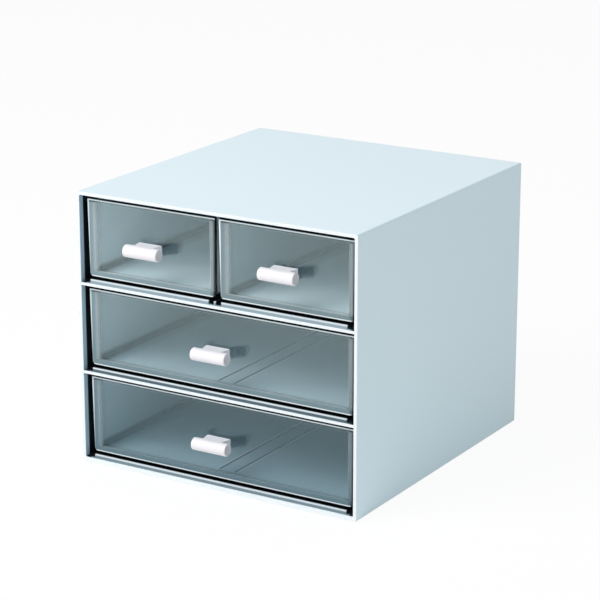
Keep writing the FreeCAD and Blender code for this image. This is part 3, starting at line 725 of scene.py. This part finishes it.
def add_body(tree, plate, tub, color):
    """The shader behind the gloss: clear, with the paint laid over it where the masks say."""
    haze_share = any_of(
        tree,
        math_node(tree, "MULTIPLY", plate.in_tub, HAZE_SHARE),
        math_node(tree, "MULTIPLY", plate.rim_light, RIM_LIGHT_SHARE),
        math_node(tree, "MULTIPLY", plate.under_rim, UNDER_RIM_SHARE),
        tub.corner, plate.margin, plate.right_band, plate.rim_dark,
    )
    clear = add_node(tree, "ShaderNodeBsdfTransparent", {"Color": CLEAR_TINT})
    haze = add_node(tree, "ShaderNodeBsdfDiffuse", {"Color": color})
    return add_node(tree, "ShaderNodeMixShader", {
        0: haze_share, 1: clear.outputs[0], 2: haze.outputs[0]})


# %% [markdown]
# ## The gloss
# Fresnel gives the share of light that a face mirrors. Seen from inside the plastic it would
# mirror everything, so the index is turned round on back faces. The index is a little higher than
# that of real plastic, which gives the plates the milky veil and the handles the dark mirror
# images that they have. The tub, its corners and the plate's outline stay duller.

# %% Gloss of the smoke-grey plastic
TRAY_INDEX = 1.9
# The gloss colour is painted darker in the lower drawers: painted shade in the reflection.
GLOSS_LOW = (0.34, 0.52, 0.60, 1.0)
GLOSS_HIGH = (0.76, 0.96, 1.0, 1.0)
GLOSS_ROUGHNESS = 0.02
TUB_DULLNESS = 0.65
DULLEST_MIRROR = 0.05


def add_gloss(tree, plate, tub, level, body):
    """Lays the mirror over the body, with less of it where the masks say dull."""
    backside = add_node(tree, "ShaderNodeNewGeometry").outputs["Backfacing"]
    index = ramp(tree, backside, 0.0, 1.0, TRAY_INDEX, 1 / TRAY_INDEX)
    fresnel = add_node(tree, "ShaderNodeFresnel", {"IOR": index}).outputs[0]
    dull_tub = math_node(tree, "MULTIPLY", plate.in_tub, TUB_DULLNESS)
    dull = any_of(tree, dull_tub, plate.fillet, tub.gap_shadow, plate.rim_dark, tub.corner)
    mirror = all_of(tree, fresnel, ramp(tree, dull, 0.0, 1.0, 1.0, DULLEST_MIRROR))
    gloss_color = blend_colors(tree, level, GLOSS_LOW, GLOSS_HIGH)
    gloss = add_node(tree, "ShaderNodeBsdfAnisotropic", {
        "Color": gloss_color, "Roughness": GLOSS_ROUGHNESS})
    return add_node(tree, "ShaderNodeMixShader", {
        0: mirror, 1: body.outputs[0], 2: gloss.outputs[0]})


# %% [markdown]
# ## One finish for each drawer
# The four drawers share the plastic, but their paint starts from four outlines, so each gets its
# own copy of the material. The left wall of the upper right drawer stands close to the other
# upper drawer, where little light comes in, so it gets more painted shade than the outer walls.

# %% Make the four finishes
# The height over which painted light in the haze, margins and gloss goes from lower to upper
# drawers.
LEVEL_Z = (10 * MM, 140 * MM)
WIDE_DRAWERS = ("middle", "bottom")
WALL_SHADES = {"upper_right": 0.6}


def make_smoke_material(name):
    material, tree = new_material("smoke_" + name + "_drawer")
    tray, wall_shade = trays[name], WALL_SHADES.get(name, 0.0)
    place = place_sockets(tree)
    level = ramp(tree, place.z, *LEVEL_Z)
    plate = plate_masks(tree, tray, place)
    tub = tub_masks(tree, tray, plate.in_tub, place)
    color = haze_paint(tree, tray, tub, place, level, wall_shade)
    if name in WIDE_DRAWERS:
        color = rib_paint(tree, tray, tub, place, color)
    color = rim_paint(tree, tray, plate, place, color, level, wall_shade)
    body = add_body(tree, plate, tub, color)
    surface = add_gloss(tree, plate, tub, level, body)
    add_node(tree, "ShaderNodeOutputMaterial", {"Surface": surface.outputs[0]})
    return material


smoke_plastics = {name: make_smoke_material(name) for name in DRAWERS}
print("made", [material.name for material in smoke_plastics.values()])

# %% [markdown]
# ## White handles, steel screws, grey feet
# The handle is a solid white moulding with a soft satin skin, the screws are zinc-plated and the
# feet are rubber. None of them is quite even: one fine noise texture shifts the colour, the
# roughness and the bump together, so they read as the grain of one surface. The dished end of a
# bar gets a greyer copy of the white plastic: painted shade, for the shade that it lies in.

# %% A finish with grain
def make_grained_material(name, first, second, share, scale, strength, roughness, metallic=0.0):
    """A colour that goes from the first by up to share towards the second with a fine noise."""
    material, tree = new_material(name)
    point = add_node(tree, "ShaderNodeTexCoord").outputs["Object"]
    noise, rough, bump = add_grain(tree, point, scale, strength, roughness)
    color = blend_colors(tree, math_node(tree, "MULTIPLY", noise, share), first, second)
    shader = add_node(tree, "ShaderNodeBsdfPrincipled", {
        "Base Color": color, "Roughness": rough, "Normal": bump, "Metallic": metallic})
    add_node(tree, "ShaderNodeOutputMaterial", {"Surface": shader.outputs[0]})
    return material


# %% Satin white plastic
HANDLE_WHITE = linear(236, 233, 237)
HANDLE_SHADE = linear(232, 229, 233)
# A greyer white for the dished ends of the bars: painted shade.
HANDLE_END_SHADE = linear(214, 205, 211)
HANDLE_GRAIN_SCALE = 1600.0
HANDLE_GRAIN_STRENGTH = 0.05

handle_plastic = make_grained_material(
    "satin_white_plastic", HANDLE_WHITE, HANDLE_SHADE, share=0.2,
    scale=HANDLE_GRAIN_SCALE, strength=HANDLE_GRAIN_STRENGTH, roughness=(0.30, 0.42))
bar_end_shade = make_grained_material(
    "shaded_bar_end", HANDLE_END_SHADE, HANDLE_WHITE, share=0.3,
    scale=HANDLE_GRAIN_SCALE, strength=HANDLE_GRAIN_STRENGTH, roughness=(0.40, 0.50))
print("made", handle_plastic.name, "and", bar_end_shade.name)

# %% Steel and rubber
STEEL_DARK, STEEL_LIGHT = linear(188, 192, 197), linear(214, 216, 219)
RUBBER_DARK, RUBBER_LIGHT = linear(136, 142, 146), linear(158, 164, 168)

steel = make_grained_material(
    "zinc_plated_steel", STEEL_DARK, STEEL_LIGHT, share=1.0,
    scale=2500.0, strength=0.1, roughness=(0.24, 0.40), metallic=1.0)
rubber = make_grained_material(
    "grey_rubber", RUBBER_DARK, RUBBER_LIGHT, share=1.0,
    scale=1200.0, strength=0.3, roughness=(0.70, 0.90))
print("made", steel.name, "and", rubber.name)

# %% [markdown]
# ## Soft edges on the big mouldings
# A moulded edge is never sharp: it has a small radius that catches a line of light. The packed
# solids have their large radii, but their small edges are sharp. Each big moulding is therefore
# copied into a piece of its own, its flat faces are joined up again, and a Bevel modifier rounds
# what is still sharp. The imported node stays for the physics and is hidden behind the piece.

# %% Link a piece to its body
def link_piece(name, mesh, body, slot, *replaced):
    """Puts a mesh in the scene as a piece that rides on a body."""
    piece = bpy.data.objects.new(name, mesh)
    scene.collection.objects.link(piece)
    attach(piece, body)
    if replaced:
        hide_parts(*replaced)
    return piece


# %% A soft-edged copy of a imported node
SAME_POINT = 0.001 * MM
FLAT_ANGLE = math.radians(0.4)
SHARP_ANGLE = math.radians(35)
BEVEL_SEGMENTS = 2
PACKED_SHADING = ("custom_normal", "sharp_edge", "sharp_face")


def soften(node_name, body, slot, material, width):
    """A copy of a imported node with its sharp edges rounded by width."""
    mesh = bpy.data.meshes.new("soft_" + node_name)
    shape = bmesh.new()
    shape.from_mesh(frame["nodes"][node_name].data)
    bmesh.ops.remove_doubles(shape, verts=shape.verts, dist=SAME_POINT)
    bmesh.ops.dissolve_limit(shape, angle_limit=FLAT_ANGLE, verts=shape.verts, edges=shape.edges)
    shape.to_mesh(mesh)
    shape.free()
    for leftover in PACKED_SHADING:
        if leftover in mesh.attributes:
            mesh.attributes.remove(mesh.attributes[leftover])
    mesh.materials.clear()
    mesh.materials.append(material)
    mesh.shade_smooth()
    mesh.set_sharp_from_angle(angle=SHARP_ANGLE)
    piece = link_piece("soft_" + node_name, mesh, body, slot, node_name)
    bevel = piece.modifiers.new("soft_edges", "BEVEL")
    bevel.width = width
    bevel.segments = BEVEL_SEGMENTS
    bevel.limit_method = "ANGLE"
    bevel.angle_limit = SHARP_ANGLE
    bevel.harden_normals = False
    bevel.miter_outer = "MITER_ARC"
    weighted = piece.modifiers.new("weighted_normals", "WEIGHTED_NORMAL")
    weighted.keep_sharp = False
    return piece


# %% The sleeve, its shelves and its back
SLEEVE_EDGES = {"case_shell": 0.35, "upper_shelf": 0.3, "lower_shelf": 0.3, "back_panel": 0.3}
for node_name, width in SLEEVE_EDGES.items():
    piece = soften(node_name, "case", "case_plastic", case_plastic, width * MM)
    print(piece.name, len(piece.data.polygons), "faces before the bevel")

# %% The four drawers
TRAY_EDGE = 0.2 * MM
for name in DRAWERS:
    piece = soften(
        name + "_drawer_tray", name + "_drawer", "drawer_clear_grey", smoke_plastics[name],
        TRAY_EDGE)
    print(piece.name, len(piece.data.polygons), "faces before the bevel")

# %% [markdown]
# ## Turned shapes
# The handles' bars and the feet are round, so they are built the way a lathe works: half an
# outline is spun round an axis in small steps, and each ring is joined to the next. Where the
# outline touches the axis, the ring is a single point and its faces are triangles.

# %% Turn an outline
def turn_outline(shape, outline, steps, to_point):
    """Spins (along, radius) pairs. to_point(along, radius, angle) says where a point lies."""
    rings = []
    for along, radius in outline:
        count = steps if radius else 1
        angles = [2 * math.pi * step / steps for step in range(count)]
        rings.append([shape.verts.new(to_point(along, radius, angle)) for angle in angles])
    faces = []
    for first, second in zip(rings, rings[1:]):
        for step in range(steps):
            after = (step + 1) % steps
            if len(first) == 1:
                corners = (first[0], second[step], second[after])
            elif len(second) == 1:
                corners = (first[step], second[0], first[after])
            else:
                corners = (first[step], second[step], second[after], first[after])
            faces.append(shape.faces.new(corners))
    return faces


# %% [markdown]
# ## The handles
# Each handle is a short round bar on a tapered block. The bar's outline has a rounded shoulder, a
# narrow rim and a shallow dish, which is what gives each end its light ring and grey centre. The
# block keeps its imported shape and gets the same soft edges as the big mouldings.

# %% Outline of a bar
BAR_RADIUS = 4.5 * MM
BAR_SHOULDER = 0.7 * MM
BAR_RIM = BAR_RADIUS - BAR_SHOULDER
BAR_DISH = 0.35 * MM
BAR_DISH_SHAPE = ((1.0, 0.0), (1.0, 0.55), (0.8, 0.80), (0.25, 0.93), (0.0, 1.0))
SHOULDER_STEPS = 6


def bar_outline(half):
    """(along, radius) pairs from the middle of one end to the middle of the other."""
    points = [(half - BAR_DISH * deep, BAR_RIM * wide) for deep, wide in BAR_DISH_SHAPE]
    for step in range(1, SHOULDER_STEPS + 1):
        angle = math.radians(90 * step / SHOULDER_STEPS)
        along = half - BAR_SHOULDER * (1 - math.cos(angle))
        points.append((along, BAR_RIM + BAR_SHOULDER * math.sin(angle)))
    points.append((half / 2, BAR_RADIUS))
    return points + [(-along, radius) for along, radius in reversed(points)]


# %% Turn the bars
BAR_STEPS = 64
DISH_SHARE = 0.9
END_DEPTH = 0.5 * MM
BRACKET_EDGE = 0.35 * MM


def build_bar(drawer):
    """The turned bar of one handle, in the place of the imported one."""
    low, high = (Vector(corner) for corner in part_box(drawer + "_handle_bar"))
    centre = (low + high) / 2
    half = (high.x - low.x) / 2

    def to_point(along, radius, angle):
        return centre + Vector((along, radius * math.cos(angle), radius * math.sin(angle)))

    shape = bmesh.new()
    for face in turn_outline(shape, bar_outline(half), BAR_STEPS, to_point):
        face.smooth = True
        offset = face.calc_center_median() - centre
        # Faces in the dish take the greyer copy, which is painted shade.
        in_dish = abs(offset.x) > half - END_DEPTH and offset.yz.length < BAR_RIM * DISH_SHARE
        face.material_index = 1 if in_dish else 0
    bmesh.ops.recalc_face_normals(shape, faces=shape.faces)
    mesh = bpy.data.meshes.new(drawer + "_turned_bar")
    shape.to_mesh(mesh)
    shape.free()
    mesh.materials.append(handle_plastic)
    mesh.materials.append(bar_end_shade)
    return link_piece(
        drawer + "_turned_bar", mesh, drawer + "_drawer", "handle_white", drawer + "_handle_bar")


for name in DRAWERS:
    bar = build_bar(name)
    block = soften(
        name + "_handle_bracket", name + "_drawer", "handle_white", handle_plastic, BRACKET_EDGE)
    print(bar.name, len(bar.data.polygons), "faces,", block.name, len(block.data.polygons))

# %% [markdown]
# ## Screws
# A pan-head screw inside each drawer holds the handle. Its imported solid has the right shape, so
# it stays as it is and only gets its finish.

# %% Finish the screws
for name in DRAWERS:
    screw = frame["nodes"][name + "_handle_screw"]
    for material_slot in screw.material_slots:
        material_slot.material = steel
print("screws:", [name + "_handle_screw" for name in DRAWERS])

# %% [markdown]
# ## Feet
# Four rubber pads are let into the underside of the sleeve. They are turned again with a soft rim
# and a shallow hollow underneath, because a rubber pad is moulded with one to grip a table. One
# packed pad is measured for its radius and place, and the other three mirror it.

# %% Outline of a foot
FOOT_RIM = 0.35 * MM
FOOT_HOLLOW = 0.2 * MM
FOOT_HOLLOW_SHAPE = ((1.0, 0.0), (1.0, 0.6), (0.3, 0.8), (0.0, 0.88))
RIM_STEPS = 4


def foot_outline(radius, low_z, high_z):
    """(along, radius) pairs from the middle of the hollow, over the rim, to the middle on top."""
    points = [(low_z + FOOT_HOLLOW * deep, radius * wide) for deep, wide in FOOT_HOLLOW_SHAPE]
    points.append((low_z, radius - FOOT_RIM))
    for step in range(1, RIM_STEPS + 1):
        angle = math.radians(90 * step / RIM_STEPS)
        along = low_z + FOOT_RIM * (1 - math.cos(angle))
        points.append((along, radius - FOOT_RIM * (1 - math.sin(angle))))
    return points + [(high_z, radius), (high_z, 0.0)]


# %% Turn the feet
FOOT_STEPS = 48
FOOT_SHARP_ANGLE = math.radians(50)


def build_feet():
    """Four pads with a rounded lower rim and a shallow hollow underneath."""
    points = [point.co for point in frame["nodes"]["foot_pads"].data.vertices]
    low, high = (Vector(corner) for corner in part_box("foot_pads"))
    middle = (low + high) / 2
    one_pad = [point for point in points if point.x > middle.x and point.y > middle.y]
    pad_low = Vector((min(p.x for p in one_pad), min(p.y for p in one_pad), low.z))
    pad_high = Vector((max(p.x for p in one_pad), max(p.y for p in one_pad), high.z))
    radius = (pad_high.x - pad_low.x) / 2
    offset = (pad_low + pad_high) / 2 - middle
    outline = foot_outline(radius, low.z, high.z)
    shape = bmesh.new()
    for side_x in (-1, 1):
        for side_y in (-1, 1):
            centre = middle + Vector((side_x * offset.x, side_y * offset.y, 0))

            def to_point(along, reach, angle):
                x = centre.x + reach * math.cos(angle)
                y = centre.y + reach * math.sin(angle)
                return (x, y, along)

            turn_outline(shape, outline, FOOT_STEPS, to_point)
    bmesh.ops.recalc_face_normals(shape, faces=shape.faces)
    mesh = bpy.data.meshes.new("turned_feet")
    shape.to_mesh(mesh)
    shape.free()
    mesh.materials.append(rubber)
    mesh.shade_smooth()
    mesh.set_sharp_from_angle(angle=FOOT_SHARP_ANGLE)
    return link_piece("turned_feet", mesh, "case", "foot_rubber", "foot_pads")


feet = build_feet()
print(feet.name, len(feet.data.polygons), "faces")

# %% [markdown]
# ## Colours as written
# The Standard view shows a colour about as it was written, without a film look.

# %% Colours as written
scene.view_settings.view_transform = "Standard"
